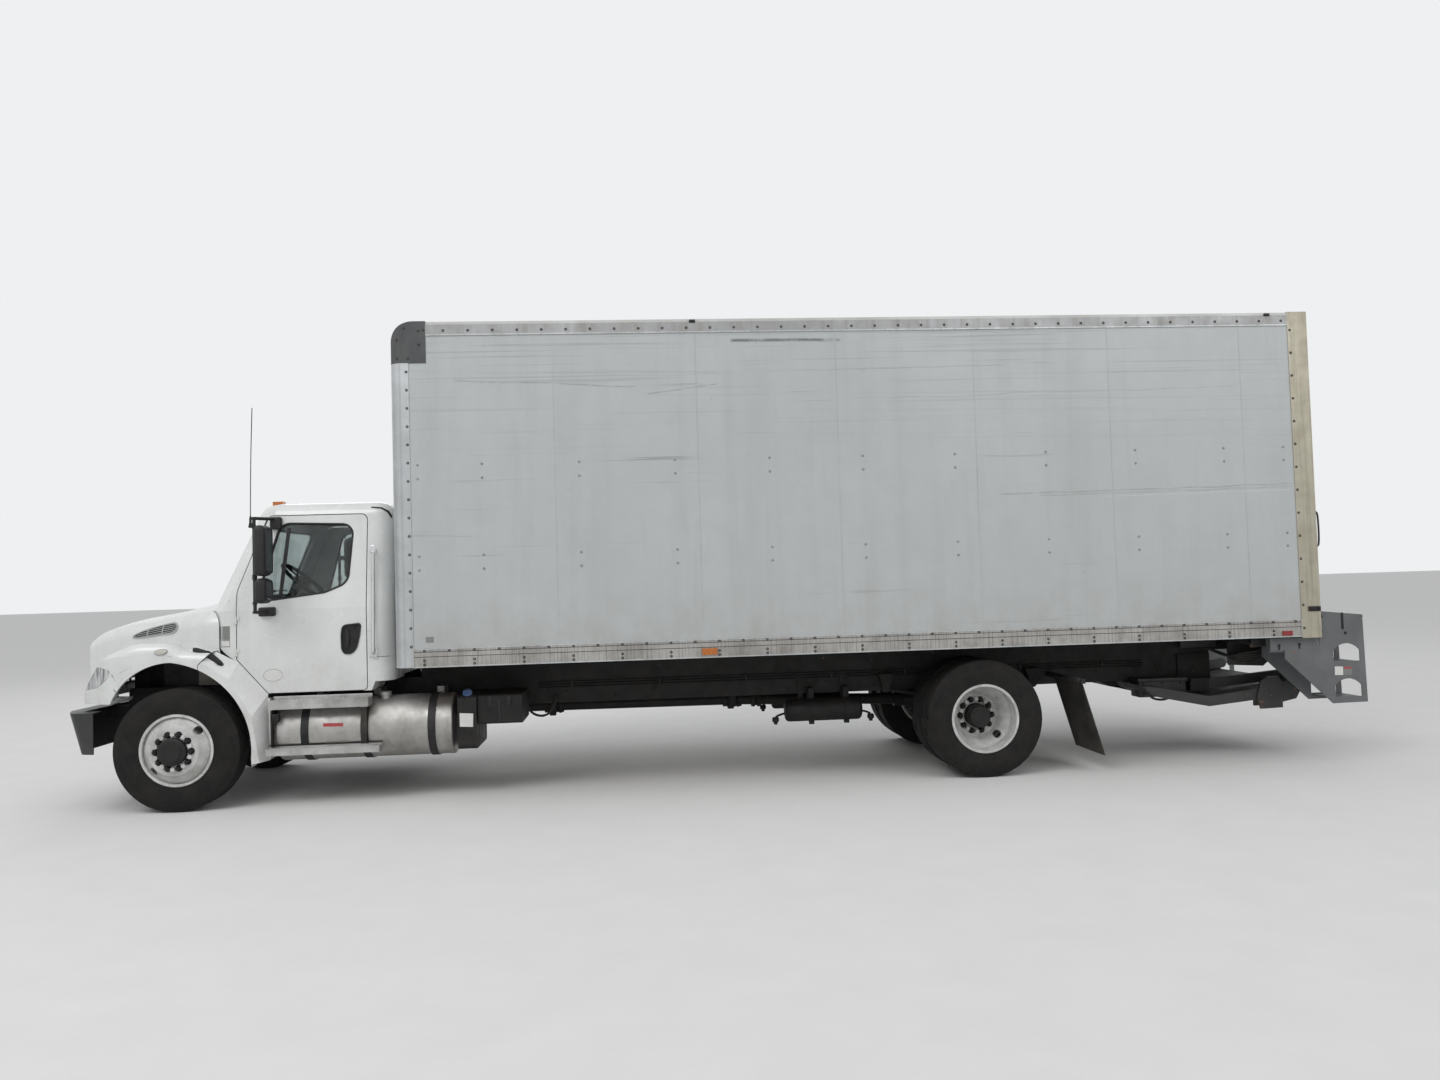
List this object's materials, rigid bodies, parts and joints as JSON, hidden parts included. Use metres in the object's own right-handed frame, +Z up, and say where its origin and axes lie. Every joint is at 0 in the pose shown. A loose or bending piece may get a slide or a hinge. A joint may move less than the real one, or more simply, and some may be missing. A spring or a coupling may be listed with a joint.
{
  "type": "box truck",
  "caption": "Conventional-cab box truck with a long van body, roll-up rear door, dock steps and a stowed tuck-under lift gate.",
  "frame": {"origin": "on the ground at the middle of the overall length, on the centreline", "axes": "+X forward, +Y to the truck's left, +Z up"},
  "size_m": [11.219, 2.864, 4.0159],
  "materials": {
    "cab_paint": "glossy off-white cab paint",
    "panel_white": "semi-gloss white body panel",
    "chassis_black": "satin black chassis paint",
    "bumper_grey": "satin charcoal paint",
    "rubber_black": "matt tyre rubber",
    "wheel_white": "semi-gloss white wheel paint",
    "engine_grey": "rough casting",
    "glass": "lightly tinted glass",
    "trim_black": "grained black plastic",
    "seat_grey": "woven grey cloth",
    "lamp_clear": "clear lamp",
    "aluminium": "brushed aluminium",
    "rail_aluminium": "weathered aluminium",
    "cap_charcoal": "charcoal casting",
    "floor_wood": "worn hardwood boards",
    "frame_steel": "dull stainless steel",
    "plate_grey": "mid-grey paint",
    "flap_black": "matt rubber sheet",
    "chrome": "bright plate",
    "mirror_glass": "silvered mirror",
    "lamp_amber": "amber lens",
    "lamp_red": "red lens"
  },
  "bodies": {
    "chassis": {"frame_rails": "chassis_black", "crossmembers": "chassis_black", "front_bumper": "bumper_grey", "front_axle": "chassis_black", "rear_axle": "chassis_black", "leaf_springs": "chassis_black", "engine": "engine_grey", "radiator": "chassis_black", "driveshaft": "chassis_black", "cab_shell": "cab_paint", "cab_glass": "glass", "dashboard": "trim_black", "steering_wheel": "trim_black", "seats": "seat_grey", "quarter_fenders": "cab_paint", "fuel_tank": "aluminium", "cab_steps": "aluminium", "exhaust": "chassis_black", "frame_boxes": "chassis_black", "front_posts": "rail_aluminium", "floor_beams": "chassis_black", "air_tanks": "chassis_black", "body_front": "panel_white", "body_sides": "panel_white", "bottom_rails": "rail_aluminium", "top_rails": "rail_aluminium", "body_roof": "panel_white", "corner_caps": "cap_charcoal", "body_floor": "floor_wood", "rear_frame": "frame_steel", "rear_door": "panel_white", "dock_steps": "plate_grey", "liftgate_frame": "chassis_black", "mudflaps": "flap_black", "grab_bars": "chrome", "amber_lamps": "lamp_amber", "red_lamps": "lamp_red"},
    "knuckle_left": {"knuckle_left": "chassis_black"},
    "knuckle_right": {"knuckle_right": "chassis_black"},
    "tie_rod": {"tie_rod": "chassis_black"},
    "front_wheel_left": {"wheel_front_left": "wheel_white", "tyre_front_left": "rubber_black"},
    "front_wheel_right": {"wheel_front_right": "wheel_white", "tyre_front_right": "rubber_black"},
    "rear_wheels_left": {"wheels_rear_left": "wheel_white", "tyres_rear_left": "rubber_black"},
    "rear_wheels_right": {"wheels_rear_right": "wheel_white", "tyres_rear_right": "rubber_black"},
    "hood": {"hood": "cab_paint", "grille": "trim_black", "headlights": "lamp_clear"},
    "left_door": {"door_left": "cab_paint", "door_glass_left": "glass", "mirror_left": "trim_black"},
    "right_door": {"door_right": "cab_paint", "door_glass_right": "glass", "mirror_right": "trim_black"},
    "lift_arms": {"lift_arms": "plate_grey"},
    "lift_platform": {"lift_platform": "plate_grey"}
  },
  "joints": [
    {"name": "steer_left", "type": "hinge", "parent": "chassis", "child": "knuckle_left", "pos_m": [4.6645, 0.88, 0.507], "axis": [0, 0, 1], "range_deg": [-40, 40]},
    {"name": "steer_right", "type": "hinge", "parent": "chassis", "child": "knuckle_right", "pos_m": [4.6645, -0.88, 0.507], "axis": [0, 0, 1], "range_deg": [-40, 40]},
    {"name": "tie_rod_swing", "type": "hinge", "parent": "knuckle_left", "child": "tie_rod", "pos_m": [4.4845, 0.88, 0.39], "axis": [0, 0, 1], "range_deg": [-40, 40]},
    {"name": "spin_front_left", "type": "hinge", "parent": "knuckle_left", "child": "front_wheel_left", "pos_m": [4.6645, 1.035, 0.507], "axis": [0, 1, 0], "continuous": true},
    {"name": "spin_front_right", "type": "hinge", "parent": "knuckle_right", "child": "front_wheel_right", "pos_m": [4.6645, -1.035, 0.507], "axis": [0, 1, 0], "continuous": true},
    {"name": "spin_rear_left", "type": "hinge", "parent": "chassis", "child": "rear_wheels_left", "pos_m": [-2.1355, 0.921, 0.507], "axis": [0, 1, 0], "continuous": true},
    {"name": "spin_rear_right", "type": "hinge", "parent": "chassis", "child": "rear_wheels_right", "pos_m": [-2.1355, -0.921, 0.507], "axis": [0, 1, 0], "continuous": true},
    {"name": "hood_tilt", "type": "hinge", "parent": "chassis", "child": "hood", "pos_m": [5.5345, 0, 0.88], "axis": [0, 1, 0], "range_deg": [0, 65]},
    {"name": "left_door_swing", "type": "hinge", "parent": "chassis", "child": "left_door", "pos_m": [4.2055, 1.068, 1.29], "axis": [0, 0, -1], "range_deg": [0, 65]},
    {"name": "right_door_swing", "type": "hinge", "parent": "chassis", "child": "right_door", "pos_m": [4.2055, -1.068, 1.29], "axis": [0, 0, 1], "range_deg": [0, 65]},
    {"name": "lift_arms_swing", "type": "hinge", "parent": "chassis", "child": "lift_arms", "pos_m": [-4.4355, 0, 0.66], "axis": [0, -1, 0], "range_deg": [0, 28]},
    {"name": "lift_platform_level", "type": "hinge", "parent": "lift_arms", "child": "lift_platform", "pos_m": [-5.3015, 0, 0.737], "axis": [0, -1, 0], "range_deg": [-28, 0]}
  ],
  "couplings": [
    {"joint": "steer_right", "follows": "steer_left", "ratio": 1},
    {"joint": "tie_rod_swing", "follows": "steer_left", "ratio": -1},
    {"joint": "lift_platform_level", "follows": "lift_arms_swing", "ratio": -1}
  ]
}
